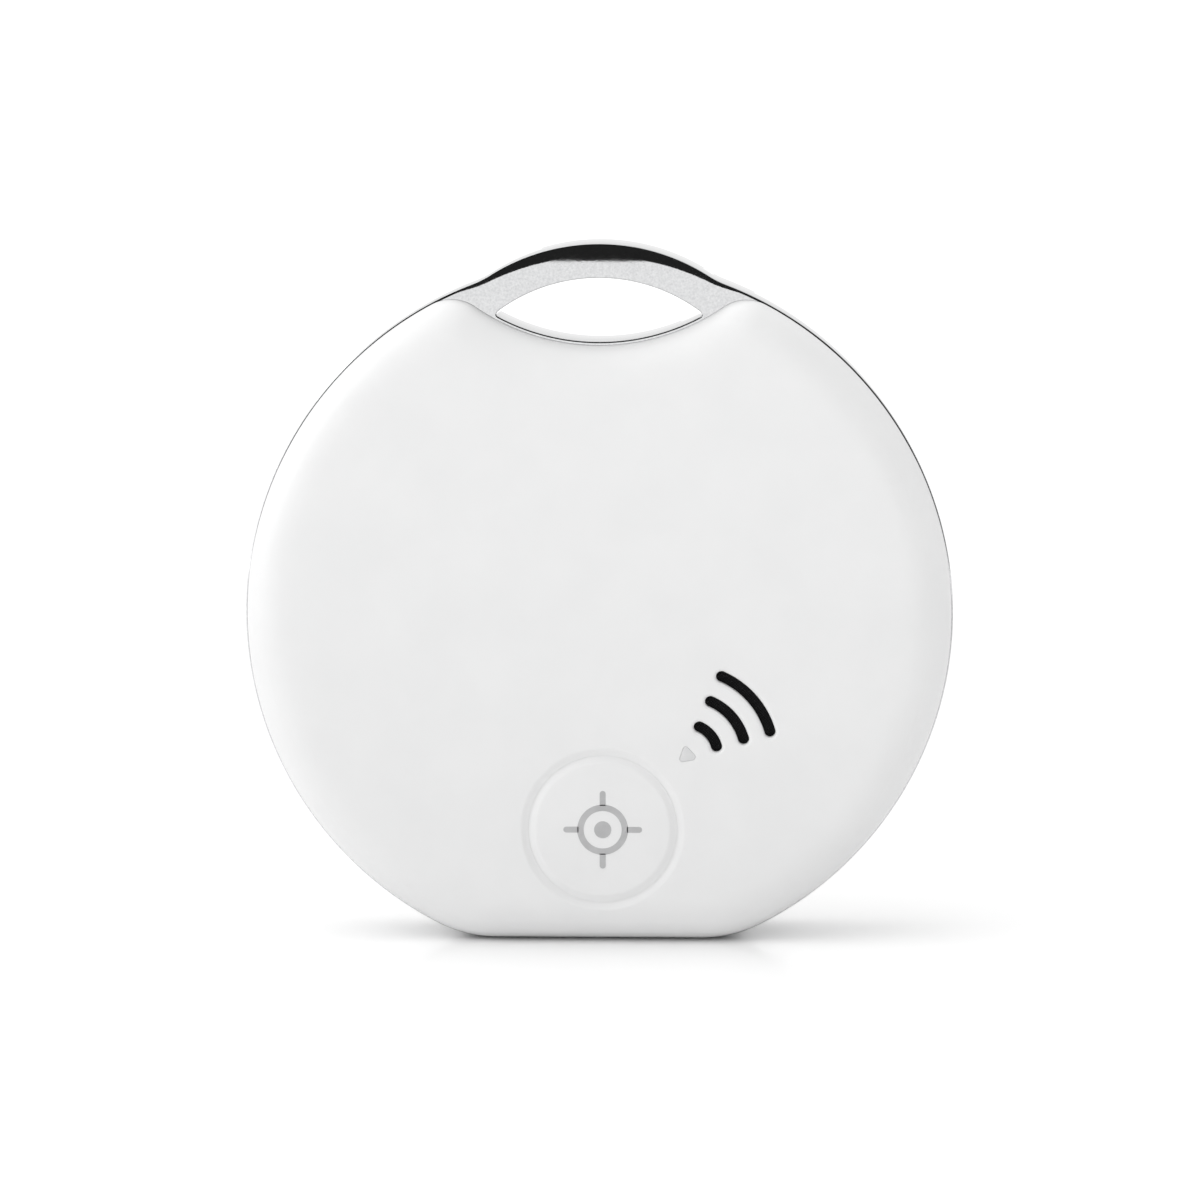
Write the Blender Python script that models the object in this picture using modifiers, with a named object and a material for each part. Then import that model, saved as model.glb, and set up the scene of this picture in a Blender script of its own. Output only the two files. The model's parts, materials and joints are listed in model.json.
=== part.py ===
"""Round bluetooth tracker tag: a chromed middle frame with a key ring eye, a front and a rear cover
clipped to it, and between them a button, a piezo sounder, a circuit board and a coin cell.

Metres, +Z up. The tag stands on the flat at its bottom, which is at Z 0. Its face looks along -Y and
+X is to the right of someone looking at the face. Pieces are placed from the disc's centre: X to the
right, Y towards the back and Z up from it.
"""

import math

import bmesh
import bpy

MM = 0.001

# The outline, as seen from the front
DISC_RADIUS = 19.0 * MM
BASE_CUT = 1.34 * MM  # how much of the disc the flat at the bottom takes off
BASE_CORNER_RADIUS = 7.0 * MM
NOTCH_DEPTH = 4.4 * MM  # from the disc's top down to the lowest point of the covers' notch
NOTCH_RADIUS = 11.6 * MM
PEAK_RADIUS = 2.3 * MM  # where the notch meets the disc
HANDLE_RISE = 0.92 * MM  # the handle's top above the disc
HANDLE_RADIUS = 10.9 * MM
HANDLE_BAR = 1.83 * MM  # the handle's height between its outside and the eye
BLEND_RADIUS = 5.0 * MM  # where the handle runs into the disc
EYE_CORNER_RADIUS = 0.3 * MM
EYE_STEP = 0.08 * MM  # the frame's edge above the covers' edge, along the eye's floor
SMALLEST_CORNER = 0.25 * MM

# Depths, from front to back
CASE_DEPTH = 8.2 * MM
BAND_DEPTH = 4.2 * MM
COVER_WALL = 0.95 * MM
EDGE_REACH = 2.2 * MM  # how far the rounding of a cover's face reaches in from its rim
COVER_STEP = 0.08 * MM  # the covers' rim inside the frame's outside
LIP_THICK = 0.5 * MM
SEAT_GAP = 0.05 * MM  # between faces that rest on each other
SLIDE_GAP = 0.1 * MM  # between walls that pass each other

# Chromed frame
FRAME_WALL = 1.2 * MM
FRAME_EDGE = 0.2 * MM
LEDGE_DEPTH = 1.15 * MM  # the ledge's front behind the band's
LEDGE_THICK = 0.8 * MM
LEDGE_REACH = 0.9 * MM

# Circuit board
BOARD_THICK = 0.6 * MM
BOARD_ROOM = 1.75 * MM  # between the front cover's inner face and the board
PART_GAP = 0.03 * MM  # solder under a part on the board

# Button and the switch under it
BUTTON_RADIUS = 3.95 * MM
BUTTON_X = 0.25 * MM
BUTTON_MARGIN = 2.35 * MM  # its lowest point above the flat at the bottom
BUTTON_GAP = 0.07 * MM
MOAT_REACH = 0.5 * MM  # how far the rounded edge reaches into the cap, and into the cover
MOAT_DEPTH = 0.18 * MM
BUTTON_FLANGE_REACH = 0.5 * MM
BUTTON_FLANGE_THICK = 0.4 * MM
BUTTON_POST_RADIUS = 0.9 * MM
BUTTON_TRAVEL = 0.2 * MM
SWITCH_SIDE = 3.4 * MM
SWITCH_BASE_THICK = 0.45 * MM
SWITCH_WELL_RADIUS = 1.3 * MM
SWITCH_WELL_DEPTH = 0.33 * MM
SWITCH_PLATE_THICK = 0.12 * MM
DOME_RISE = 0.19 * MM
DOME_THICK = 0.05 * MM
PLUNGER_RADIUS = 0.75 * MM
PLUNGER_LENGTH = 0.39 * MM

# Sound slots, light guide and sounder
SIGNAL_X = 4.76 * MM  # the light guide, which is also the centre of the slots
SIGNAL_RISE = 4.06 * MM  # its height above the button's centre
SLOT_RADII = (1.64 * MM, 3.14 * MM, 4.61 * MM)
SLOT_WIDTH = 0.6 * MM
SLOT_START = math.radians(16)
SLOT_END = math.radians(66.5)
GUIDE_RADIUS = 0.5 * MM  # to the corners of its three-sided face
GUIDE_CORNER = 0.1 * MM
GUIDE_GAP = 0.04 * MM
GUIDE_FOOT_RADIUS = 0.55 * MM
GUIDE_FOOT_THICK = 0.4 * MM
LED_SIZE = (1.6 * MM, 0.6 * MM, 0.8 * MM)
SOUNDER_OFFSET = 5.3 * MM  # from the light guide, along the middle of the slots
SOUNDER_RADIUS = 4.6 * MM
SOUNDER_RECESS = 0.5 * MM  # into the cover, so that the wall is thin at the slots
MESH_THICK = 0.08 * MM
GASKET_THICK = 0.65 * MM
GASKET_WIDTH = 0.55 * MM
PIEZO_PLATE_THICK = 0.15 * MM
CERAMIC_RADIUS = 3.2 * MM
CERAMIC_THICK = 0.15 * MM

# Coin cell, 20 mm across and 3.2 mm thick
CELL_RADIUS = 10.0 * MM
CELL_THICK = 3.2 * MM
CELL_DROP = 0.5 * MM  # its middle below the disc's centre
CELL_TO_BOARD = 0.5 * MM
CELL_SHEET = 0.25 * MM
CAP_PROUD = 0.2 * MM  # the negative cap in front of the can's lip
CAP_FACE_RADIUS = 8.6 * MM
CAP_RADIUS = 9.2 * MM
PAD_RADIUS = 4.5 * MM

# Battery tray and the four screws that hold it and the board to the front cover
TRAY_PLATE_THICK = 0.6 * MM
TRAY_WALL = 0.8 * MM
CELL_GAP = 0.3 * MM
SCREW_INSET = 4.9 * MM  # in from the disc's outside
SCREW_ANGLES = [math.radians(a) for a in (18, 162, -53, -127)]
SCREW_RADIUS = 0.6 * MM
SCREW_HEAD_RADIUS = 1.25 * MM
SCREW_HEAD_THICK = 0.5 * MM
SCREW_LENGTH = 3.1 * MM
RECESS_WIDTH = 0.28 * MM
RECESS_DEPTH = 0.25 * MM
BOSS_RADIUS = 1.35 * MM
THREAD_GAP = 0.05 * MM
HOLE_GAP = 0.2 * MM
CONTACT_THICK = 0.14 * MM
PLUS_CONTACT_WIDTH = 3.0 * MM
WINDOW_MARGIN = 0.3 * MM

# Fingernail notch in the rear cover's bottom edge
PRY_WIDTH = 7.0 * MM
PRY_DEPTH = 0.8 * MM
PRY_HEIGHT = 0.7 * MM

# Y of each layer, front to back
FACE_Y = -CASE_DEPTH / 2
COVER_INSIDE_Y = FACE_Y + COVER_WALL
BAND_Y = -BAND_DEPTH / 2
BOARD_Y = COVER_INSIDE_Y + BOARD_ROOM
BOARD_BACK_Y = BOARD_Y + BOARD_THICK
CELL_Y = BOARD_BACK_Y + CELL_TO_BOARD
CELL_BACK_Y = CELL_Y + CELL_THICK
LEDGE_Y = BAND_Y + LEDGE_DEPTH
LEDGE_BACK_Y = LEDGE_Y + LEDGE_THICK
TRAY_Y = LEDGE_BACK_Y + SEAT_GAP
TRAY_BACK_Y = TRAY_Y + TRAY_PLATE_THICK

BASE_DROP = DISC_RADIUS - BASE_CUT
BUTTON_Z = BUTTON_MARGIN + BUTTON_RADIUS - BASE_DROP
CELL_Z = -CELL_DROP
LIP_INSET = FRAME_WALL + SLIDE_GAP
LEDGE_INSET = FRAME_WALL + LEDGE_REACH
BOARD_INSET = LEDGE_INSET + SLIDE_GAP
SIGNAL_Z = BUTTON_Z + SIGNAL_RISE
SLOT_MIDDLE = (SLOT_START + SLOT_END) / 2
SOUNDER_X = SIGNAL_X + SOUNDER_OFFSET * math.cos(SLOT_MIDDLE)
SOUNDER_Z = SIGNAL_Z + SOUNDER_OFFSET * math.sin(SLOT_MIDDLE)
SCREW_PLACES = [
    ((DISC_RADIUS - SCREW_INSET) * math.cos(a), (DISC_RADIUS - SCREW_INSET) * math.sin(a))
    for a in SCREW_ANGLES
]
TRAY_RADIUS = CELL_RADIUS + CELL_GAP + TRAY_WALL

SIDES = 36  # of a round piece
SMALL_SIDES = 16
UPRIGHT = (math.radians(90), 0, 0)  # turns a piece made in plan so that it faces the front


def clear_scene():
    for obj in list(bpy.data.objects):
        bpy.data.objects.remove(obj, do_unlink=True)


def new_collection(name):
    collection = bpy.data.collections.new(name)
    bpy.context.scene.collection.children.link(collection)
    return collection


def new_material(name, colour, roughness, metallic=0.0):
    made = bpy.data.materials.new(name)
    made.use_nodes = True
    shader = made.node_tree.nodes["Principled BSDF"]
    shader.inputs["Base Color"].default_value = (*colour, 1)
    shader.inputs["Roughness"].default_value = roughness
    shader.inputs["Metallic"].default_value = metallic
    return made


# ---- outlines, as lists of (x, z) that run anticlockwise ----


def arc(centre, radius, start, end, steps):
    """Points on a round stretch, both ends included."""
    turns = [start + (end - start) * i / steps for i in range(steps + 1)]
    return [(centre[0] + radius * math.cos(a), centre[1] + radius * math.sin(a)) for a in turns]


def mirrored(half):
    """A closed outline from its right half, which runs up from the bottom to the top."""
    return half + [(-x, z) for x, z in reversed(half) if abs(x) > MM / 100]


def meeting_point(radius_a, height_b, radius_b):
    """Right-hand point at radius_a from the disc's centre and radius_b from (0, height_b)."""
    z = (radius_a**2 - radius_b**2 + height_b**2) / (2 * height_b)
    return math.sqrt(radius_a**2 - z**2), z


def base_corner(inset):
    """Centre and radius of the rounding between the disc and the flat."""
    radius = max(BASE_CORNER_RADIUS - inset, SMALLEST_CORNER)
    z = inset + radius - BASE_DROP
    return (math.sqrt((DISC_RADIUS - inset - radius) ** 2 - z**2), z), radius


def base_and_side(inset, top_angle):
    """Right half of the outline: the flat, its rounded corner and the disc up to top_angle."""
    centre, radius = base_corner(inset)
    turn = math.atan2(centre[1], centre[0])
    corner = arc(centre, radius, -math.pi / 2, turn, 5)
    side = arc((0, 0), DISC_RADIUS - inset, turn, top_angle, 18)
    return corner + side[1:]


def body_outline(inset):
    """Outline of the covers and what is inside them, drawn in by inset: a disc with a flat and a notch."""
    notch_radius = NOTCH_RADIUS + inset
    notch_z = DISC_RADIUS - NOTCH_DEPTH + NOTCH_RADIUS
    peak = max(PEAK_RADIUS - inset, SMALLEST_CORNER)
    centre = meeting_point(DISC_RADIUS - inset - peak, notch_z, notch_radius + peak)
    top_angle = math.atan2(centre[1], centre[0])
    to_notch = math.atan2(notch_z - centre[1], -centre[0])
    half = base_and_side(inset, top_angle)
    half += arc(centre, peak, top_angle, to_notch, 4)[1:]
    half += arc((0, notch_z), notch_radius, to_notch - math.pi, -math.pi / 2, 6)[1:]
    return mirrored(half)


def handle_centre():
    return 0, DISC_RADIUS + HANDLE_RISE - HANDLE_RADIUS


def frame_outline():
    """Outside of the frame: the disc, which swells into the handle at the top."""
    handle = handle_centre()
    blend = meeting_point(DISC_RADIUS + BLEND_RADIUS, handle[1], HANDLE_RADIUS + BLEND_RADIUS)
    side_top = math.atan2(blend[1], blend[0])
    to_handle = math.atan2(handle[1] - blend[1], -blend[0])
    half = base_and_side(0, side_top)
    half += arc(blend, BLEND_RADIUS, side_top - math.pi, to_handle, 4)[1:]
    half += arc(handle, HANDLE_RADIUS, to_handle + math.pi, math.pi / 2, 9)[1:]
    return mirrored(half)


def eye_outline():
    """The eye, a lens with rounded ends between the handle and the notch."""
    top = handle_centre()
    top_radius = HANDLE_RADIUS - HANDLE_BAR
    floor_radius = NOTCH_RADIUS - EYE_STEP
    floor_z = DISC_RADIUS - NOTCH_DEPTH + NOTCH_RADIUS
    x, z = meeting_point(top_radius - EYE_CORNER_RADIUS, floor_z - top[1], floor_radius - EYE_CORNER_RADIUS)
    end = (x, z + top[1])
    low = math.atan2(end[1] - floor_z, end[0])
    high = math.atan2(end[1] - top[1], end[0])
    half = arc((0, floor_z), floor_radius, -math.pi / 2, low, 6)
    half += arc(end, EYE_CORNER_RADIUS, low, high, 3)[1:]
    half += arc(top, top_radius, high, math.pi / 2, 7)[1:]
    return mirrored(half)


def slot_outline(radius):
    """A slot with round ends that runs along an arc about the light guide."""
    middle = (SIGNAL_X, SIGNAL_Z)
    half_width = SLOT_WIDTH / 2
    first, last = (arc(middle, radius, a, a, 1)[0] for a in (SLOT_START, SLOT_END))
    outline = arc(middle, radius + half_width, SLOT_START, SLOT_END, 8)
    outline += arc(last, half_width, SLOT_END, SLOT_END + math.pi, 5)[1:]
    outline += arc(middle, radius - half_width, SLOT_END, SLOT_START, 8)[1:]
    return outline + arc(first, half_width, SLOT_START - math.pi, SLOT_START, 5)[1:-1]


def guide_outline(grow=0.0):
    """Three sides with rounded corners, one corner pointing away from the slots."""
    outline = []
    for turn in range(3):
        angle = SLOT_MIDDLE + math.radians(60 + 120 * turn)
        reach = GUIDE_RADIUS - GUIDE_CORNER
        centre = (SIGNAL_X + reach * math.cos(angle), SIGNAL_Z + reach * math.sin(angle))
        outline += arc(centre, GUIDE_CORNER + grow, angle - math.pi / 3, angle + math.pi / 3, 3)
    return outline


# ---- makers ----


class Workshop:
    """Makes the pieces, all parented to an empty at the disc's centre."""

    def __init__(self):
        self.parts = new_collection("tracker_tag")
        self.helpers = new_collection("cutters")
        self.centre = bpy.data.objects.new("disc_centre", None)
        self.centre.location = (0, 0, BASE_DROP)
        self.parts.objects.link(self.centre)

    def place(self, obj, material):
        """Files obj under the parts, or under the cutters where it has no material."""
        for collection in list(obj.users_collection):
            collection.objects.unlink(obj)
        obj.parent = self.centre
        if material is None:
            self.helpers.objects.link(obj)
            obj.hide_render = True
            obj.display_type = "WIRE"
        else:
            self.parts.objects.link(obj)
            obj.data.materials.clear()
            obj.data.materials.append(material)
        return obj

    def slab(self, name, outlines, front, back, material=None, edge=0.0):
        """A flat piece between two Y values. The first outline is its outside and the rest are holes."""
        curve = bpy.data.curves.new(name, "CURVE")
        curve.dimensions = "2D"
        curve.fill_mode = "BOTH"
        for number, outline in enumerate(outlines):
            spline = curve.splines.new("POLY")
            spline.points.add(len(outline) - 1)
            points = outline if number == 0 else outline[::-1]
            spline.points.foreach_set("co", [v for x, z in points for v in (x, z, 0, 1)])
            spline.use_cyclic_u = True
        curve.extrude = (back - front) / 2 - edge
        curve.bevel_depth = edge
        curve.bevel_resolution = 1
        curve.offset = -edge
        drawn = bpy.data.objects.new(name + "_drawn", curve)
        self.parts.objects.link(drawn)
        drawn.location = (0, (front + back) / 2, 0)
        drawn.rotation_euler = UPRIGHT
        bpy.context.view_layer.update()
        seen = drawn.evaluated_get(bpy.context.evaluated_depsgraph_get())
        mesh = bpy.data.meshes.new_from_object(seen)
        mesh.name = name
        matrix = drawn.matrix_world.copy()
        bpy.data.objects.remove(drawn)
        bpy.data.curves.remove(curve)
        weld(mesh)
        solid = bpy.data.objects.new(name, mesh)
        solid.matrix_world = matrix
        return self.place(solid, material)

    def rod(self, name, radius, front, back, x, z, material=None, sides=SMALL_SIDES):
        """A round bar along Y."""
        bpy.ops.mesh.primitive_cylinder_add(
            vertices=sides,
            radius=radius,
            depth=back - front,
            location=(x, (front + back) / 2, z),
            rotation=UPRIGHT,
        )
        bar = bpy.context.object
        bar.name = name
        return self.place(bar, material)

    def block(self, name, size, centre, material=None):
        """A box of that size, about that centre."""
        bpy.ops.mesh.primitive_cube_add(size=1, location=centre)
        box = bpy.context.object
        box.name = name
        box.scale = size
        bpy.ops.object.transform_apply(location=False, rotation=False, scale=True)
        return self.place(box, material)

    def turned(self, name, profile, x, z, material=None, closed=False, sides=SIDES):
        """A piece turned about an axis along Y, from (radius, y) points that run back on its outside."""
        mesh = bpy.data.meshes.new(name)
        count = len(profile)
        edges = [(i, (i + 1) % count) for i in range(count if closed else count - 1)]
        mesh.from_pydata([(radius, 0, -y) for radius, y in profile], edges, [])
        piece = bpy.data.objects.new(name, mesh)
        piece.location = (x, 0, z)
        piece.rotation_euler = UPRIGHT
        screw = piece.modifiers.new("turn", "SCREW")
        screw.steps = screw.render_steps = sides
        screw.use_merge_vertices = True
        screw.merge_threshold = MM / 1000
        return self.place(piece, material)

    def strip(self, name, path, thickness, width, x, z, material):
        """Bent sheet metal: a path of (x, y) points with a thickness, as wide as given along Z."""
        outline = thickened(path, thickness)
        curve_outline = [(px, -py) for px, py in outline]
        piece = self.slab(name, [curve_outline], -width / 2, width / 2, material)
        piece.rotation_euler = (math.radians(180), 0, 0)
        piece.location = (x, 0, z)
        return piece

    def loft(self, name, rings, material):
        """A closed skin through rings of (x, y, z) points, capped at its first and last ring."""
        shape = bmesh.new()
        loops = [[shape.verts.new(point) for point in ring] for ring in rings]
        for one, two in zip(loops, loops[1:]):
            for i in range(len(one)):
                shape.faces.new((one[i - 1], one[i], two[i], two[i - 1]))
        shape.faces.new(loops[0])
        shape.faces.new(loops[-1])
        bmesh.ops.recalc_face_normals(shape, faces=shape.faces)
        mesh = bpy.data.meshes.new(name)
        shape.to_mesh(mesh)
        shape.free()
        return self.place(bpy.data.objects.new(name, mesh), material)


def weld(mesh):
    """Joins a filled curve's caps to its sides."""
    shape = bmesh.new()
    shape.from_mesh(mesh)
    bmesh.ops.remove_doubles(shape, verts=shape.verts, dist=MM / 1000)
    shape.to_mesh(mesh)
    shape.free()


def thickened(path, thickness):
    """Outline of a strip that follows path, with half its thickness on each side."""
    sides = ([], [])
    for i, (px, py) in enumerate(path):
        before = path[max(i - 1, 0)]
        after = path[min(i + 1, len(path) - 1)]
        run = math.hypot(after[0] - before[0], after[1] - before[1])
        normal = ((before[1] - after[1]) / run, (after[0] - before[0]) / run)
        for side, reach in zip(sides, (-thickness / 2, thickness / 2)):
            side.append((px + normal[0] * reach, py + normal[1] * reach))
    return sides[0] + sides[1][::-1]


def boolean(obj, helper, operation="DIFFERENCE"):
    modifier = obj.modifiers.new(helper.name, "BOOLEAN")
    modifier.operation = operation
    modifier.object = helper
    modifier.solver = "EXACT"


def ring_at(inset, y):
    return [(x, y, z) for x, z in body_outline(inset)]


# ---- casing ----


def chrome_frame(shop, material):
    outlines = [frame_outline(), eye_outline(), body_outline(FRAME_WALL)]
    frame = shop.slab("chrome_frame", outlines, BAND_Y, -BAND_Y, material, edge=FRAME_EDGE)
    inside_wall = FRAME_WALL - FRAME_EDGE
    ledge = shop.slab(
        "frame_ledge", [body_outline(inside_wall), body_outline(LEDGE_INSET)], LEDGE_Y, LEDGE_BACK_Y
    )
    boolean(frame, ledge, "UNION")


def cover_rings(facing, lip_end):
    """Rings of a cover: its rounded face, its rim, its lip and its inside. facing is -1 or 1 along Y."""
    rim = -BAND_Y + SEAT_GAP
    face = CASE_DEPTH / 2
    rings = []
    for step in range(6):
        turn = math.radians(90) * step / 5
        inset = COVER_STEP + EDGE_REACH * (1 - math.sin(turn))
        rings.append((inset, rim + (face - rim) * math.cos(turn)))
    inner_inset = LIP_INSET + LIP_THICK
    rings += [(LIP_INSET, rim), (LIP_INSET, lip_end), (inner_inset, lip_end)]
    inner_start = (rim + face - COVER_WALL) / 2
    inner_reach = COVER_STEP + EDGE_REACH + COVER_WALL - inner_inset
    for step in range(3):
        turn = math.radians(90) * step / 2
        inset = inner_inset + inner_reach * (1 - math.cos(turn))
        rings.append((inset, inner_start + (face - COVER_WALL - inner_start) * math.sin(turn)))
    return [ring_at(inset, facing * y) for inset, y in rings]


def front_cover(shop, material):
    lip_end = -(LEDGE_Y - SEAT_GAP)
    cover = shop.loft("front_cover", cover_rings(-1, lip_end), material)
    boss_end = BOARD_Y - SEAT_GAP
    for number, (x, z) in enumerate(SCREW_PLACES, 1):
        wall_middle = COVER_INSIDE_Y - COVER_WALL / 2
        boss = shop.rod(f"boss_{number}", BOSS_RADIUS, wall_middle, boss_end, x, z)
        boolean(cover, boss, "UNION")
    for number, (x, z) in enumerate(SCREW_PLACES, 1):
        radius = SCREW_RADIUS + THREAD_GAP
        hole = shop.rod(f"boss_hole_{number}", radius, COVER_INSIDE_Y, boss_end + MM, x, z)
        boolean(cover, hole)
    hole_radius = BUTTON_RADIUS + BUTTON_GAP
    profile = [
        (0, FACE_Y - MM),
        (hole_radius + MOAT_REACH, FACE_Y - MM),
        (hole_radius + MOAT_REACH, FACE_Y),
        (hole_radius + MOAT_REACH / 3, FACE_Y + MOAT_DEPTH / 2),
        (hole_radius, FACE_Y + MOAT_DEPTH),
        (hole_radius, COVER_INSIDE_Y + MM),
        (0, COVER_INSIDE_Y + MM),
    ]
    boolean(cover, shop.turned("button_hole", profile, BUTTON_X, BUTTON_Z))
    pocket_radius = BUTTON_RADIUS + BUTTON_FLANGE_REACH + SLIDE_GAP
    pocket_end = COVER_INSIDE_Y + BUTTON_FLANGE_THICK + BUTTON_TRAVEL + SLIDE_GAP
    pocket = shop.rod(
        "button_pocket", pocket_radius, COVER_INSIDE_Y, pocket_end, BUTTON_X, BUTTON_Z, None, SIDES
    )
    boolean(cover, pocket)
    for number, radius in enumerate(SLOT_RADII, 1):
        outline = slot_outline(radius)
        boolean(cover, shop.slab(f"slot_{number}", [outline], FACE_Y - MM, COVER_INSIDE_Y + MM))
    recess_y = COVER_INSIDE_Y - SOUNDER_RECESS
    recess_radius = SOUNDER_RADIUS + SLIDE_GAP
    recess = shop.rod(
        "sounder_recess", recess_radius, recess_y, COVER_INSIDE_Y + MM, SOUNDER_X, SOUNDER_Z, None, SIDES
    )
    boolean(cover, recess)
    outline = guide_outline(GUIDE_GAP)
    boolean(cover, shop.slab("guide_hole", [outline], FACE_Y - MM, COVER_INSIDE_Y + MM))


def rear_cover(shop, material, foam):
    cover = shop.loft("rear_cover", cover_rings(1, TRAY_BACK_Y + SEAT_GAP), material)
    size = (PRY_WIDTH, PRY_DEPTH * 2, PRY_HEIGHT * 2)
    notch = shop.block("pry_notch", size, (0, -BAND_Y, -BASE_DROP))
    boolean(cover, notch)
    inside = CASE_DEPTH / 2 - COVER_WALL
    pad_front = CELL_BACK_Y + SEAT_GAP
    shop.rod("battery_pad", PAD_RADIUS, pad_front, inside - SEAT_GAP, 0, CELL_Z, foam, SIDES)


# ---- button and switch ----


def button(shop, material):
    flange_y = COVER_INSIDE_Y + SEAT_GAP
    flange_back = flange_y + BUTTON_FLANGE_THICK
    post_end = switch_levels()["plunger"] - SEAT_GAP
    flange_radius = BUTTON_RADIUS + BUTTON_FLANGE_REACH
    profile = [
        (0, FACE_Y),
        (BUTTON_RADIUS - MOAT_REACH, FACE_Y),
        (BUTTON_RADIUS - MOAT_REACH / 3, FACE_Y + MOAT_DEPTH / 2),
        (BUTTON_RADIUS, FACE_Y + MOAT_DEPTH),
        (BUTTON_RADIUS, flange_y),
        (flange_radius, flange_y),
        (flange_radius, flange_back),
        (BUTTON_POST_RADIUS, flange_back),
        (BUTTON_POST_RADIUS, post_end),
        (0, post_end),
    ]
    shop.turned("button_cap", profile, BUTTON_X, BUTTON_Z, material)


def switch_levels():
    """Y of the faces of the switch, from the board forwards."""
    base_back = BOARD_Y - PART_GAP
    base = base_back - SWITCH_BASE_THICK
    plate = base - PART_GAP - SWITCH_PLATE_THICK
    well = base + SWITCH_WELL_DEPTH
    dome = well - PART_GAP - DOME_THICK - DOME_RISE
    plunger_back = dome - PART_GAP
    return {
        "base_back": base_back,
        "base": base,
        "plate": plate,
        "well": well,
        "dome": dome,
        "plunger_back": plunger_back,
        "plunger": plunger_back - PLUNGER_LENGTH,
    }


def switch(shop, plastic, steel, plunger_plastic):
    level = switch_levels()
    side = SWITCH_SIDE
    depth = level["base_back"] - level["base"]
    place = BUTTON_X, level["base"] + depth / 2, BUTTON_Z
    base = shop.block("switch_base", (side, depth, side), place, plastic)
    well = shop.rod("switch_well", SWITCH_WELL_RADIUS, level["base"] - MM, level["well"], BUTTON_X, BUTTON_Z)
    boolean(base, well)
    middle = level["plate"] + SWITCH_PLATE_THICK / 2
    plate = shop.block("switch_plate", (side, SWITCH_PLATE_THICK, side), (BUTTON_X, middle, BUTTON_Z), steel)
    opening = PLUNGER_RADIUS + SLIDE_GAP
    hole = shop.rod("plate_hole", opening, level["plate"] - MM, level["base"] + MM, BUTTON_X, BUTTON_Z)
    boolean(plate, hole)
    dome_radius = SWITCH_WELL_RADIUS - BUTTON_GAP
    reaches = [i / 4 for i in range(5)]
    outside = [(dome_radius * r, level["dome"] + DOME_RISE * r * r) for r in reaches]
    inside = [(radius, y + DOME_THICK) for radius, y in reversed(outside)]
    shop.turned("switch_dome", outside + inside, BUTTON_X, BUTTON_Z, steel, sides=SMALL_SIDES)
    start, end = level["plunger"], level["plunger_back"]
    shop.rod("switch_plunger", PLUNGER_RADIUS, start, end, BUTTON_X, BUTTON_Z, plunger_plastic)


# ---- sounder and light ----


def light_guide(shop, clear, led_plastic):
    foot_back = COVER_INSIDE_Y + GUIDE_FOOT_THICK
    guide = shop.slab("light_guide", [guide_outline()], FACE_Y, foot_back, clear)
    foot_front = COVER_INSIDE_Y + SEAT_GAP
    foot = shop.rod("guide_foot", GUIDE_FOOT_RADIUS, foot_front, foot_back, SIGNAL_X, SIGNAL_Z)
    boolean(guide, foot, "UNION")
    middle = BOARD_Y - PART_GAP - LED_SIZE[1] / 2
    shop.block("status_led", LED_SIZE, (SIGNAL_X, middle, SIGNAL_Z), led_plastic)


def sounder(shop, fabric, foam, brass, ceramic, bronze):
    x, z = SOUNDER_X, SOUNDER_Z
    front = COVER_INSIDE_Y - SOUNDER_RECESS + PART_GAP
    shop.rod("slot_mesh", SOUNDER_RADIUS, front, front + MESH_THICK, x, z, fabric, SIDES)
    front += MESH_THICK + PART_GAP
    back = front + GASKET_THICK
    inner = SOUNDER_RADIUS - GASKET_WIDTH
    profile = [(inner, front), (SOUNDER_RADIUS, front), (SOUNDER_RADIUS, back), (inner, back)]
    shop.turned("sounder_gasket", profile, x, z, foam, closed=True)
    front = back + PART_GAP
    back = front + PIEZO_PLATE_THICK
    shop.rod("piezo_plate", SOUNDER_RADIUS, front, back, x, z, brass, SIDES)
    plate_back = back
    front = back + PART_GAP
    ceramic_back = front + CERAMIC_THICK
    shop.rod("piezo_ceramic", CERAMIC_RADIUS, front, ceramic_back, x, z, ceramic, SIDES)
    rim_middle = (CERAMIC_RADIUS + SOUNDER_RADIUS) / 2
    for name, reach, touched in (("spring_centre", 0, ceramic_back), ("spring_rim", rim_middle, plate_back)):
        foot_y = BOARD_Y - PART_GAP - CONTACT_THICK / 2
        tip_y = touched + SEAT_GAP + CONTACT_THICK / 2
        path = [(-1.9 * MM, foot_y), (-1.0 * MM, foot_y), (-0.1 * MM, tip_y), (0.3 * MM, tip_y)]
        shop.strip(name, path, CONTACT_THICK, MM, x + reach, z, bronze)


# ---- board ----


def circuit_board(shop, material):
    board = shop.slab("circuit_board", [body_outline(BOARD_INSET)], BOARD_Y, BOARD_BACK_Y, material)
    for number, (x, z) in enumerate(SCREW_PLACES, 1):
        radius = SCREW_RADIUS + HOLE_GAP
        hole = shop.rod(f"board_hole_{number}", radius, BOARD_Y - MM, BOARD_BACK_Y + MM, x, z)
        boolean(board, hole)


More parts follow.
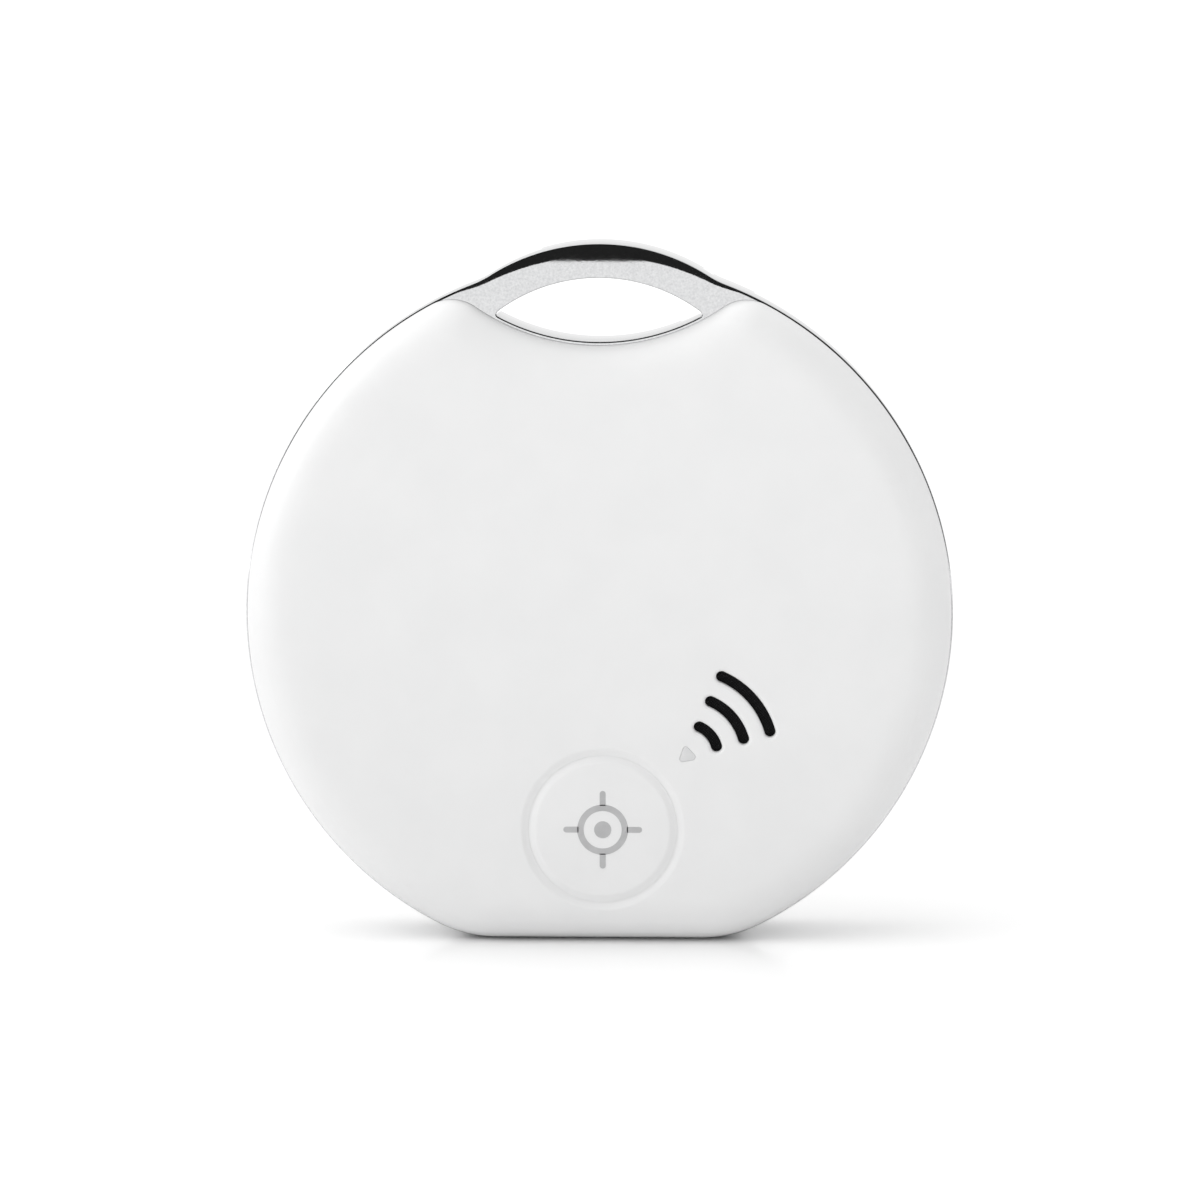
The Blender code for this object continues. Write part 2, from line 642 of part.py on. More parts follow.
def board_parts(shop, materials):
    """Parts soldered to the board's front: name, width, thickness, height, X, Z and material."""
    rows = [
        ("radio_chip", 5.0, 0.85, 5.0, -6.5, -2.5, "chip"),
        ("radio_crystal", 2.5, 0.55, 2.0, -6.5, -7.0, "tin"),
        ("clock_crystal", 3.2, 0.75, 1.5, -0.6, -1.2, "tin"),
        ("aerial", 7.0, 0.9, 2.0, -7.5, 9.6, "ceramic"),
        ("inductor", 2.0, 0.9, 1.6, -1.4, 3.4, "chip"),
        ("capacitor_1", 1.0, 0.5, 0.5, -2.4, -4.6, "capacitor"),
        ("capacitor_2", 1.0, 0.5, 0.5, -10.8, -1.5, "capacitor"),
        ("capacitor_3", 1.0, 0.5, 0.5, -10.8, -3.5, "capacitor"),
        ("capacitor_4", 1.0, 0.5, 0.5, -6.5, 2.2, "capacitor"),
        ("aerial_inductor", 1.0, 0.5, 0.5, -7.5, 6.4, "capacitor"),
        ("led_resistor", 1.0, 0.35, 0.5, 2.2, -5.6, "chip"),
    ]
    for name, width, thick, height, x, z, material in rows:
        middle = BOARD_Y - PART_GAP - thick * MM / 2
        size = (width * MM, thick * MM, height * MM)
        shop.block(name, size, (x * MM, middle, z * MM), materials[material])


# ---- coin cell, tray, contacts and screws ----


def coin_cell(shop, steel, gasket_plastic, black, lithium):
    lip = CELL_Y + CAP_PROUD
    back = CELL_BACK_Y
    floor = back - CELL_SHEET
    wall = CELL_RADIUS - CELL_SHEET
    lip_inner = wall - CELL_SHEET
    can = [
        (0, floor),
        (wall, floor),
        (wall, lip + CELL_SHEET),
        (lip_inner, lip + CELL_SHEET),
        (lip_inner, lip),
        (CELL_RADIUS, lip),
        (CELL_RADIUS, back),
        (0, back),
    ]
    shop.turned("cell_can", can, 0, CELL_Z, steel)
    skirt_end = CELL_Y + CELL_THICK * 0.6
    shoulder = CELL_Y + 2 * CELL_SHEET
    cap = [
        (0, CELL_Y),
        (CAP_FACE_RADIUS, CELL_Y),
        (CAP_RADIUS, shoulder),
        (CAP_RADIUS, skirt_end),
        (CAP_RADIUS - CELL_SHEET, skirt_end),
        (CAP_RADIUS - CELL_SHEET, shoulder + CELL_SHEET / 2),
        (CAP_FACE_RADIUS - CELL_SHEET / 2, CELL_Y + CELL_SHEET),
        (0, CELL_Y + CELL_SHEET),
    ]
    shop.turned("cell_cap", cap, 0, CELL_Z, steel)
    inner, outer = CAP_RADIUS + SEAT_GAP, wall - SEAT_GAP
    front, end = lip + CELL_SHEET + SEAT_GAP, floor - SEAT_GAP
    seal = [(inner, front), (outer, front), (outer, end), (inner, end)]
    shop.turned("cell_gasket", seal, 0, CELL_Z, gasket_plastic, closed=True)
    fill_radius = CAP_RADIUS - CELL_SHEET - SLIDE_GAP
    cathode_front = floor - SEAT_GAP - 1.3 * MM
    shop.rod("cell_cathode", fill_radius, cathode_front, floor - SEAT_GAP, 0, CELL_Z, black, SIDES)
    anode_back = cathode_front - SLIDE_GAP
    anode_front = anode_back - 0.6 * MM
    shop.rod("cell_anode", fill_radius - CELL_SHEET, anode_front, anode_back, 0, CELL_Z, lithium, SIDES)


def plus_contact_path():
    """Runs along the board's back towards the cell, then up beside the can and against its wall."""
    foot_y = BOARD_BACK_Y + PART_GAP + CONTACT_THICK / 2
    touch_x = -(CELL_RADIUS + SEAT_GAP + CONTACT_THICK / 2)
    bend_x = touch_x - 0.7 * MM
    return [
        (bend_x - 2.4 * MM, foot_y),
        (bend_x - 0.3 * MM, foot_y),
        (bend_x, foot_y + 0.4 * MM),
        (touch_x, foot_y + 1.9 * MM),
        (touch_x - 0.25 * MM, foot_y + 2.6 * MM),
    ]


def contacts(shop, bronze):
    path = plus_contact_path()
    shop.strip("plus_contact", path, CONTACT_THICK, PLUS_CONTACT_WIDTH, 0, CELL_Z, bronze)
    foot_y = BOARD_BACK_Y + PART_GAP + CONTACT_THICK / 2
    tip_y = CELL_Y - SEAT_GAP - CONTACT_THICK / 2
    path = [(-4.0 * MM, foot_y), (-2.0 * MM, foot_y), (0.5 * MM, tip_y), (1.6 * MM, tip_y)]
    shop.strip("minus_contact", path, CONTACT_THICK, 2 * MM, 0, CELL_Z, bronze)


def battery_tray(shop, material):
    tray = shop.slab("battery_tray", [body_outline(LIP_INSET)], TRAY_Y, TRAY_BACK_Y, material)
    front = BOARD_BACK_Y + SEAT_GAP
    wall_back = CELL_BACK_Y - 0.3 * MM
    wall = shop.rod("tray_wall", TRAY_RADIUS, front, wall_back, 0, CELL_Z, None, SIDES)
    boolean(tray, wall, "UNION")
    for number, (x, z) in enumerate(SCREW_PLACES, 1):
        pillar_back = TRAY_BACK_Y - TRAY_PLATE_THICK / 3
        boolean(tray, shop.rod(f"pillar_{number}", BOSS_RADIUS, front, pillar_back, x, z), "UNION")
    for number, (x, z) in enumerate(SCREW_PLACES, 1):
        radius = SCREW_RADIUS + HOLE_GAP
        boolean(tray, shop.rod(f"tray_hole_{number}", radius, front - MM, TRAY_BACK_Y + MM, x, z))
    pocket = CELL_RADIUS + CELL_GAP
    boolean(tray, shop.rod("cell_pocket", pocket, front - MM, wall_back + MM, 0, CELL_Z, None, SIDES))
    path = plus_contact_path()
    left = path[0][0] - WINDOW_MARGIN
    right = -CELL_RADIUS
    back = path[-1][1] + WINDOW_MARGIN
    size = (right - left, back - front + MM, PLUS_CONTACT_WIDTH + 2 * WINDOW_MARGIN)
    window = shop.block("contact_window", size, ((left + right) / 2, (front - MM + back) / 2, CELL_Z))
    boolean(tray, window)


def screws(shop, steel):
    head_front = TRAY_BACK_Y + PART_GAP
    head_back = head_front + SCREW_HEAD_THICK
    for number, (x, z) in enumerate(SCREW_PLACES, 1):
        profile = [
            (0, head_front - SCREW_LENGTH),
            (SCREW_RADIUS, head_front - SCREW_LENGTH),
            (SCREW_RADIUS, head_front),
            (SCREW_HEAD_RADIUS, head_front),
            (SCREW_HEAD_RADIUS, head_back - SCREW_HEAD_THICK / 3),
            (SCREW_HEAD_RADIUS - SCREW_HEAD_THICK / 3, head_back),
            (0, head_back),
        ]
        screw = shop.turned(f"screw_{number}", profile, x, z, steel, sides=SMALL_SIDES)
        for turn, size in enumerate(((SCREW_HEAD_RADIUS, RECESS_WIDTH), (RECESS_WIDTH, SCREW_HEAD_RADIUS))):
            arm = (size[0], 2 * RECESS_DEPTH, size[1])
            boolean(screw, shop.block(f"recess_{number}_{turn}", arm, (x, head_back, z)))


def main():
    clear_scene()
    shop = Workshop()
    white = new_material("satin_white", (0.86, 0.86, 0.86), 0.38)
    chrome = new_material("chrome_plate", (0.78, 0.78, 0.79), 0.08, 1.0)
    steel = new_material("steel", (0.62, 0.62, 0.63), 0.3, 1.0)
    bronze = new_material("contact_bronze", (0.78, 0.62, 0.36), 0.3, 1.0)
    brass = new_material("brass", (0.80, 0.64, 0.32), 0.3, 1.0)
    foam = new_material("black_foam", (0.03, 0.03, 0.03), 0.95)
    fabric = new_material("black_mesh", (0.02, 0.02, 0.02), 0.8)
    clear = new_material("light_guide", (0.70, 0.70, 0.70), 0.25)
    board = new_material("solder_mask", (0.02, 0.16, 0.07), 0.35)
    chip = new_material("chip_black", (0.03, 0.03, 0.035), 0.45)
    tray = new_material("tray_grey", (0.16, 0.16, 0.17), 0.5)
    cream = new_material("cream_ceramic", (0.75, 0.70, 0.60), 0.5)
    capacitor = new_material("capacitor_tan", (0.45, 0.30, 0.18), 0.5)
    silver = new_material("lithium", (0.6, 0.6, 0.62), 0.4, 1.0)

    chrome_frame(shop, chrome)
    front_cover(shop, white)
    rear_cover(shop, white, foam)
    button(shop, white)
    switch(shop, chip, steel, tray)
    light_guide(shop, clear, cream)
    sounder(shop, fabric, foam, brass, cream, bronze)
    circuit_board(shop, board)
    board_parts(shop, {"chip": chip, "tin": steel, "ceramic": cream, "capacitor": capacitor})
    coin_cell(shop, steel, clear, foam, silver)
    contacts(shop, bronze)
    battery_tray(shop, tray)
    screws(shop, steel)
    for obj in shop.parts.objects:
        if obj.type == "MESH":
            obj.data.shade_smooth()
            obj.data.set_sharp_from_angle(angle=math.radians(35))


main()
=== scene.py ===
import json
import math

import bmesh
import bpy
import numpy as np
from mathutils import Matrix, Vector
from mathutils.geometry import delaunay_2d_cdt


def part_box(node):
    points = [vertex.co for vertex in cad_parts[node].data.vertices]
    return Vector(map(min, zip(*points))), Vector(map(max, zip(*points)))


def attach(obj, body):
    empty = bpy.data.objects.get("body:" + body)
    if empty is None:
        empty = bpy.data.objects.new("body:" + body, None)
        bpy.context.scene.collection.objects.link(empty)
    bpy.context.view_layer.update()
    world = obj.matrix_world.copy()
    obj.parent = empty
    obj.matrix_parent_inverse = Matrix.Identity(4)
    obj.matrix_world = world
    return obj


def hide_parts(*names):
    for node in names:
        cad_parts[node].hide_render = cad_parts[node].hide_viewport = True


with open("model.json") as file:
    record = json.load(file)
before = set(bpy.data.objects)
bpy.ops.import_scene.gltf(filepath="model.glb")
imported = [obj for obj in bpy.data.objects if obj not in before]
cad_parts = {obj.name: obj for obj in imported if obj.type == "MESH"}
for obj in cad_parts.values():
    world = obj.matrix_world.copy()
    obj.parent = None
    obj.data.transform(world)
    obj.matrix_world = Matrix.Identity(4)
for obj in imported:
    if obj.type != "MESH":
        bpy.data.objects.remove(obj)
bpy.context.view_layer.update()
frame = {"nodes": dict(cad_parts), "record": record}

MM = 0.001

# ---- sizes: outlines are (x, z) from the disc's centre, depths are Y ----

FRAME_LOW, FRAME_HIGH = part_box("chrome_frame")
FRONT_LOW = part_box("front_cover")[0]
REAR_LOW, REAR_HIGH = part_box("rear_cover")
CAP_LOW, CAP_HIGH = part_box("button_cap")
GUIDE_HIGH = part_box("light_guide")[1]
MESH_LOW, MESH_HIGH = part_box("slot_mesh")

DISC_RADIUS = 19.0 * MM
DISC_Z = 17.66 * MM
BASE_DROP = DISC_Z
BASE_CORNER = 7.0 * MM
NOTCH_RADIUS = 11.6 * MM
NOTCH_Z = 26.2 * MM
PEAK_RADIUS = 2.3 * MM
SMALLEST_CORNER = 0.25 * MM
HANDLE_RADIUS = 10.9 * MM
HANDLE_BAR = 1.83 * MM
HANDLE_Z = FRAME_HIGH.z - DISC_Z - HANDLE_RADIUS
BLEND_RADIUS = 5.0 * MM
EYE_CORNER = 0.18 * MM
EYE_FLOOR_RADIUS = 11.52 * MM

FACE_Y = FRONT_LOW.y
BACK_Y = REAR_HIGH.y
BAND_Y = FRAME_LOW.y
COVER_STEP = 0.1 * MM
COVER_GAP = 0.05 * MM
RIM_Y = BAND_Y - COVER_GAP
EDGE_REACH = 2.2 * MM
EDGE_DEPTH = RIM_Y - FACE_Y
CROWN_DEPTH = 0.25 * MM
CROWN_REACH = 9.0 * MM
FACE_START = 1.2 * MM  # in from the outline, where the rounded edge hands over to the face
WALL = 0.95 * MM
LIP_OUT = 1.3 * MM
LIP_IN = 1.8 * MM
LIP_EDGE = 0.04 * MM
FRAME_WALL = 1.2 * MM
FRAME_EDGE = 0.09 * MM
LEAD_REACH = 0.5 * MM  # the frame's flat front runs into its rounded edge over this width
LEAD_RISE = 0.0014 * MM
LEAD_INSETS = [FRAME_EDGE + LEAD_REACH * share for share in (1, 0.85, 0.7, 0.55, 0.4, 0.25, 0.1)]
EYE_EDGE = 0.06 * MM
FILL_SUPPORT = 0.02 * MM  # from a rounded edge to where its flat is filled
LEDGE_REACH = 2.1 * MM
LEDGE_Y = (-0.95 * MM, -0.15 * MM)

FACE_LATTICE = 0.45 * MM
INSIDE_LATTICE = 1.5 * MM

PRY_WIDTH = 7.0 * MM
PRY_DEPTH = 0.8 * MM
PRY_HEIGHT = 0.7 * MM

CELL_SHEET = 0.25 * MM
RECESS_DEPTH = 0.25 * MM

BUTTON = (0.25 * MM, -11.36 * MM)
BUTTON_RADIUS = 3.99 * MM
BUTTON_GAP = 0.007 * MM
MOAT_REACH = 0.47 * MM
MOAT_DEPTH = 0.14 * MM
FLANGE_RADIUS = 4.4 * MM
FLANGE_THICK = 0.4 * MM
POST_RADIUS = 0.9 * MM
ROUND_STEPS = 200  # round the button and its hole

INK_THICK = 0.008 * MM
SIGN_DOT = 0.46 * MM
SIGN_RING = (1.02 * MM, 1.36 * MM)
SIGN_TICK = (1.3 * MM, 1.95 * MM)
SIGN_TICK_HALF = 0.16 * MM

SIGNAL = np.array([4.76 * MM, -7.3 * MM])
SLOT_RADII = (1.64 * MM, 3.14 * MM, 4.61 * MM)
SLOT_WIDTH = 0.6 * MM
SLOT_START = math.radians(16)
SLOT_END = math.radians(66.5)
SLOT_EDGE = (0.2 * MM, 0.2 * MM)  # reach and depth of the slots' rounded mouths
GUIDE_RADIUS = 0.46 * MM
GUIDE_CORNER = 0.17 * MM
GUIDE_GAP = 0.007 * MM
GUIDE_EDGE = 0.02 * MM
GUIDE_MOUTH = (0.06 * MM, 0.02 * MM)  # reach and depth
WEAVE_PITCH = 0.16 * MM
POLE = 1e-7  # radius of a closed pole

SCREEN_EDGES = [(-0.9, -1.1, -0.5), (1.5, -1.1, -0.5), (1.5, -0.1, 1.5), (-0.9, -0.1, 1.5)]
FLOOR_EDGES = [(-4, -0.56, 0), (4, -0.56, 0), (4, 6, 0), (-4, 6, 0)]


# ---- outlines: closed, anticlockwise, as (n, 2) arrays; grow moves them outwards in parallel ----


def arc(centre, radius, start, end, steps, grow=0.0):
    """centre + radius × (cos, sin) of evenly spaced angles. A stretch that runs clockwise is hollow, so it
    shrinks as the outline grows."""
    turns = np.linspace(start, end, steps + 1)
    reach = radius + grow * np.sign(end - start)
    return np.array(centre) + reach * np.stack([np.cos(turns), np.sin(turns)], 1)


def mirrored(stretches):
    """The right half's stretches, bottom to top, and their mirror image."""
    half = np.concatenate([stretches[0]] + [s[1:] for s in stretches[1:]])
    return np.concatenate([half, half[-2:0:-1] * (-1, 1)])


def crossing(radius_a, height_b, radius_b):
    """Right-hand point at radius_a from the disc's centre and radius_b from (0, height_b)."""
    z = (radius_a**2 - radius_b**2 + height_b**2) / (2 * height_b)
    return np.array([math.sqrt(radius_a**2 - z**2), z])


def bearing(start, end):
    """Angle of the line from start to end."""
    return math.atan2(end[1] - start[1], end[0] - start[0])


def base_corner_centre():
    """Centre of the corner's arc, which touches the disc from inside and the flat from above."""
    z = BASE_CORNER - BASE_DROP
    return np.array([math.sqrt((DISC_RADIUS - BASE_CORNER) ** 2 - z**2), z])


def base_and_side(top_angle, grow):
    """The flat, its rounded corner and the disc up to top_angle."""
    centre = base_corner_centre()
    turn = bearing((0, 0), centre)
    flat = np.linspace((0, -BASE_DROP - grow), (centre[0], -BASE_DROP - grow), 60)
    corner = arc(centre, BASE_CORNER, -math.pi / 2, turn, 30, grow)
    return [flat, corner, arc((0, 0), DISC_RADIUS, turn, top_angle, 130, grow)]


def cover_outline(grow=0.0):
    """Disc with a flat at the bottom, and at the top a notch between two rounded peaks."""
    peak = max(PEAK_RADIUS + grow, SMALLEST_CORNER)
    notch = NOTCH_RADIUS - grow
    centre = crossing(DISC_RADIUS + grow - peak, NOTCH_Z, notch + peak)
    top_angle = bearing((0, 0), centre)
    to_notch = bearing(centre, (0, NOTCH_Z))
    stretches = base_and_side(top_angle, grow)
    stretches.append(arc(centre, peak, top_angle, to_notch, 22))
    stretches.append(arc((0, NOTCH_Z), notch, to_notch - math.pi, -math.pi / 2, 44))
    return mirrored(stretches)


def frame_outline(grow=0.0):
    """Disc with the same flat, which swells into the handle through two hollow blends."""
    top = np.array([0, HANDLE_Z])
    blend = crossing(DISC_RADIUS + BLEND_RADIUS, HANDLE_Z, HANDLE_RADIUS + BLEND_RADIUS)
    side_top = bearing((0, 0), blend)
    to_handle = bearing(blend, top)
    stretches = base_and_side(side_top, grow)
    stretches.append(arc(blend, BLEND_RADIUS, side_top - math.pi, to_handle, 30, grow))
    stretches.append(arc(top, HANDLE_RADIUS, to_handle + math.pi, math.pi / 2, 70, grow))
    return mirrored(stretches)


def eye_outline(grow=0.0):
    """Lens with small round ends: the handle's underside above, and the notch's line below."""
    top = np.array([0, HANDLE_Z])
    radius = HANDLE_RADIUS - HANDLE_BAR
    end = crossing(radius - EYE_CORNER, NOTCH_Z - HANDLE_Z, EYE_FLOOR_RADIUS - EYE_CORNER) + top
    low = bearing((0, NOTCH_Z), end)
    high = bearing(top, end)
    floor = arc((0, NOTCH_Z), EYE_FLOOR_RADIUS, -math.pi / 2, low, 44, grow)
    corner = arc(end, EYE_CORNER, low, high, 14, grow)
    return mirrored([floor, corner, arc(top, radius, high, math.pi / 2, 50, grow)])


def slot_outline(radius, grow=0.0):
    """Band along an arc about the light guide, with round ends."""
    half = SLOT_WIDTH / 2
    first, last = arc(SIGNAL, radius, SLOT_START, SLOT_END, 1)
    steps = int(radius * 16 / MM)
    stretches = [
        arc(SIGNAL, radius + half, SLOT_START, SLOT_END, steps, grow),
        arc(last, half, SLOT_END, SLOT_END + math.pi, 18, grow),
        arc(SIGNAL, radius - half, SLOT_END, SLOT_START, steps, grow),
        arc(first, half, SLOT_START - math.pi, SLOT_START, 18, grow),
    ]
    return np.concatenate([s[:-1] for s in stretches])


def guide_outline(grow=0.0):
    """Three sides with round corners."""
    stretches = []
    for turn in range(3):
        angle = (SLOT_START + SLOT_END) / 2 + math.radians(60 + 120 * turn)
        centre = SIGNAL + (GUIDE_RADIUS - GUIDE_CORNER) * np.array([math.cos(angle), math.sin(angle)])
        stretches.append(arc(centre, GUIDE_CORNER, angle - math.pi / 3, angle + math.pi / 3, 10, grow))
    return np.concatenate(stretches)


def ring_outline(radius, centre=(0, 0), steps=160):
    """A circle: centre + radius × (cos, sin)."""
    return arc(centre, radius, 0, 2 * math.pi, steps)[:-1]


# ---- surfaces ----


def edge_distance(points):
    """Distance in from the covers' outline: the least of those to the disc, the notch and the flat, and in
    the wedge of a rounded corner, the one to its arc."""
    x, z = np.abs(points[..., 0]), points[..., 1]
    disc = DISC_RADIUS - np.hypot(x, z)
    notch = np.hypot(x, z - NOTCH_Z) - NOTCH_RADIUS
    distance = np.minimum(np.minimum(disc, notch), z + BASE_DROP)
    base = base_corner_centre()
    peak = crossing(DISC_RADIUS - PEAK_RADIUS, NOTCH_Z, NOTCH_RADIUS + PEAK_RADIUS)
    corners = (
        (base, BASE_CORNER, -math.pi / 2, bearing((0, 0), base)),
        (peak, PEAK_RADIUS, bearing((0, 0), peak), bearing(peak, (0, NOTCH_Z))),
    )
    for centre, radius, low, high in corners:
        turn = np.arctan2(z - centre[1], x - centre[0])
        wedge = (turn >= low) & (turn <= high)
        distance = np.where(wedge, radius - np.hypot(x - centre[0], z - centre[1]), distance)
    return distance


def crown(points):
    """CROWN_DEPTH × (1 - d / CROWN_REACH)³, where d is a smooth least of the distances to the disc and the
    notch."""
    sharpness = 0.8 / MM
    x, z = points[..., 0], points[..., 1]
    fields = [DISC_RADIUS - np.hypot(x, z), np.hypot(x, z - NOTCH_Z) - NOTCH_RADIUS]
    distance = -np.log(sum(np.exp(-sharpness * field) for field in fields)) / sharpness
    return CROWN_DEPTH * np.clip(1 - distance / CROWN_REACH, 0, 1) ** 3


def face_fall(points, distance=None):
    """How far a cover's face lies behind its foremost plane: its crown, and a quarter ellipse over the last
    EDGE_REACH that brings it to the rim."""
    distance = edge_distance(points) if distance is None else distance
    soft = crown(points)
    reach = np.clip(1 - (distance - COVER_STEP) / EDGE_REACH, 0, 1)
    return soft + (EDGE_DEPTH - soft) * (1 - np.sqrt(1 - reach**2))


def placed(points, y):
    """(x, z) points and their depths as points in the object's frame."""
    y = np.broadcast_to(y, points.shape[:-1])
    return np.stack([points[..., 0], y, points[..., 1] + DISC_Z], -1)


def grid(rows):
    """Quads over a (rows, columns, 3) array whose columns run round a closed outline."""
    rows = np.asarray(rows)
    count, around = rows.shape[:2]
    index = np.arange(count * around).reshape(count, around)
    after = np.roll(index, -1, 1)
    quads = np.stack([index[:-1], after[:-1], after[1:], index[1:]], -1).reshape(-1, 4)
    return rows.reshape(-1, 3), quads


def swept(outline, profile):
    """A profile of (grow, y) carried round an outline that takes grow."""
    return grid([placed(outline(grow), y) for grow, y in profile])


def within(points, loop):
    """True for the points that a closed loop goes round, by counting its crossings to the right of them."""
    x, z = points[:, :1], points[:, 1:]
    x0, z0 = loop[:, 0], loop[:, 1]
    x1, z1 = np.roll(x0, -1), np.roll(z0, -1)
    spans = (z0 > z) != (z1 > z)
    rise = np.where(z1 == z0, 1, z1 - z0)
    return (np.sum(spans & (x < x0 + (z - z0) * (x1 - x0) / rise), 1) % 2) == 1


def filled(outer, holes, depth, spacing=0.0):
    """The area inside one closed loop and outside others, in triangles between the loops' own points and a
    square lattice, each point at its depth."""
    loops = [outer, *holes]
    points = list(loops)
    if spacing:
        low, high = outer.min(0), outer.max(0)
        axes = [np.arange(a, b, spacing) for a, b in zip(low, high)]
        lattice = np.stack(np.meshgrid(*axes), -1).reshape(-1, 2)
        keep = within(lattice, outer)
        for loop in loops:
            near = np.min(np.hypot(*(lattice[:, None] - loop[None]).transpose(2, 0, 1)), 1)
            keep &= near > spacing * 0.6
        for hole in holes:
            keep &= ~within(lattice, hole)
        points.append(lattice[keep])
    stacked = np.concatenate(points)
    starts = np.cumsum([0] + [len(loop) for loop in loops])
    edges = [(a + i, a + (i + 1) % (b - a)) for a, b in zip(starts, starts[1:]) for i in range(b - a)]
    found = delaunay_2d_cdt((stacked / MM).tolist(), edges, [], 0, 1e-7)
    spots = np.array([(v[0], v[1]) for v in found[0]]) * MM
    triangles = np.array(found[2])
    middles = spots[triangles].mean(1)
    keep = within(middles, outer)
    for hole in holes:
        keep &= ~within(middles, hole)
    y = depth(spots) if callable(depth) else depth
    return placed(spots, y), triangles[keep]


def turned(profile, centre, steps=160):
    """A profile of (radius, y) turned about an axis along Y. A radius of 0 is a pole."""
    return grid([placed(ring_outline(max(radius, POLE), centre, steps), y) for radius, y in profile])


def rounded(profile, radius=0.05 * MM, steps=4):
    """The profile's points with each corner inside it cut to a round of that radius, or of a third of its
    shorter side."""
    profile = np.array(profile, float)
    smooth = [profile[0]]
    for before, corner, after in zip(profile, profile[1:], profile[2:]):
        to_before, to_after = before - corner, after - corner
        sides = np.hypot(*to_before), np.hypot(*to_after)
        reach = min(radius, sides[0] / 3, sides[1] / 3)
        first = corner + to_before / sides[0] * reach
        last = corner + to_after / sides[1] * reach
        t = np.linspace(0, 1, steps + 1)[:, None]
        smooth.extend((1 - t) ** 2 * first + 2 * t * (1 - t) * corner + t**2 * last)
    smooth.append(profile[-1])
    return smooth


def piece(name, patches, material, body, node=None, crease=40):
    """One object out of patches of (points, faces), joined where they meet and turned to face outwards."""
    points = np.concatenate([p for p, _ in patches])
    starts = np.cumsum([0] + [len(p) for p, _ in patches])
    faces = [face for start, (_, f) in zip(starts, patches) for face in (f + start).tolist()]
    mesh = bpy.data.meshes.new(name)
    mesh.from_pydata(points.tolist(), [], faces)
    shape = bmesh.new()
    shape.from_mesh(mesh)
    bmesh.ops.remove_doubles(shape, verts=shape.verts, dist=MM / 800)
    bmesh.ops.recalc_face_normals(shape, faces=shape.faces)
    shape.to_mesh(mesh)
    shape.free()
    mesh.shade_smooth()
    mesh.set_sharp_from_angle(angle=math.radians(crease))
    mesh.materials.append(material)
    obj = bpy.data.objects.new(name, mesh)
    bpy.context.scene.collection.objects.link(obj)
    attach(obj, body)
    if node:
        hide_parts(node)
    return obj


# ---- materials ----


class Finish:
    """A Principled material and the node helpers that its patterns need, all on object coordinates."""

    def __init__(self, name, **values):
        self.material = bpy.data.materials.new(name)
        self.material.use_nodes = True
        self.tree = self.material.node_tree
        self.shader = self.tree.nodes["Principled BSDF"]
        for key, value in values.items():
            socket = self.shader.inputs[key.replace("_", " ").title().replace("Ior", "IOR")]
            socket.default_value = (*value, 1) if isinstance(value, tuple) else value

    def node(self, kind, **settings):
        made = self.tree.nodes.new("ShaderNode" + kind)
        for key, value in settings.items():
            setattr(made, key, value)
        return made

    def link(self, start, end):
        self.tree.links.new(start, end)

    def place(self):
        return self.node("TexCoord").outputs["Object"]

    def noise(self, per_metre, detail=3.0, roughness=0.5):
        """Noise from 0 to 1, with that many features to the metre."""
        made = self.node("TexNoise")
        made.inputs["Scale"].default_value = per_metre
        made.inputs["Detail"].default_value = detail
        made.inputs["Roughness"].default_value = roughness
        self.link(self.place(), made.inputs["Vector"])
        return made.outputs["Fac"]

    def spread(self, value, low, high, start=0.3, end=0.7):
        """value from start..end, mapped to low..high."""
        made = self.node("MapRange")
        for key, number in zip(("From Min", "From Max", "To Min", "To Max"), (start, end, low, high)):
            made.inputs[key].default_value = number
        self.link(value, made.inputs["Value"])
        return made.outputs["Result"]

    def ramp(self, value, stops):
        """Colours at places from 0 to 1."""
        made = self.node("ValToRGB")
        elements = made.color_ramp.elements
        while len(elements) < len(stops):
            elements.new(0.5)
        for element, (position, colour) in zip(elements, stops):
            element.position = position
            element.color = (*colour, 1)
        self.link(value, made.inputs["Fac"])
        return made.outputs["Color"]

    def bump(self, height, depth, strength=1.0):
        """Adds a bump of that depth in metres before any that is there."""
        made = self.node("Bump")
        made.inputs["Strength"].default_value = strength
        made.inputs["Distance"].default_value = depth
        self.link(height, made.inputs["Height"])
        normal = self.shader.inputs["Normal"]
        if normal.is_linked:
            self.link(normal.links[0].from_socket, made.inputs["Normal"])
        self.link(made.outputs["Normal"], normal)

    def vary(self, colours, roughness, per_metre, start=0.35, end=0.65):
        """Colour between two tones and roughness between two values, by one soft noise."""
        cloud = self.noise(per_metre, 4.0)
        tones = self.ramp(cloud, [(start, colours[0]), (end, colours[1])])
        self.link(tones, self.shader.inputs["Base Color"])
        self.link(self.spread(cloud, *roughness), self.shader.inputs["Roughness"])


def satin_white():
    """The covers and the button: a satin white with a fine grain and a faint wave."""
    finish = Finish("satin_white", specular_ior_level=0.45)
    finish.vary([(0.712, 0.713, 0.714), (0.728, 0.7285, 0.729)], (0.36, 0.44), 260)
    finish.bump(finish.noise(9000, 2.0), 0.0000012)
    finish.bump(finish.noise(420, 1.0), 0.000004, 0.5)
    return finish.material


def chrome_plate():
    """Bright plating over a cast frame: two tones in a very fine grain, nearly a mirror."""
    finish = Finish("chrome_plate", metallic=1.0)
    grain = finish.noise(8000, 3.0, 0.7)
    tones = [(0.3, (0.52, 0.524, 0.53)), (0.7, (0.68, 0.682, 0.686))]
    finish.link(finish.ramp(grain, tones), finish.shader.inputs["Base Color"])
    finish.link(finish.spread(finish.noise(700), 0.005, 0.012), finish.shader.inputs["Roughness"])
    finish.bump(grain, 0.000000025)
    return finish.material


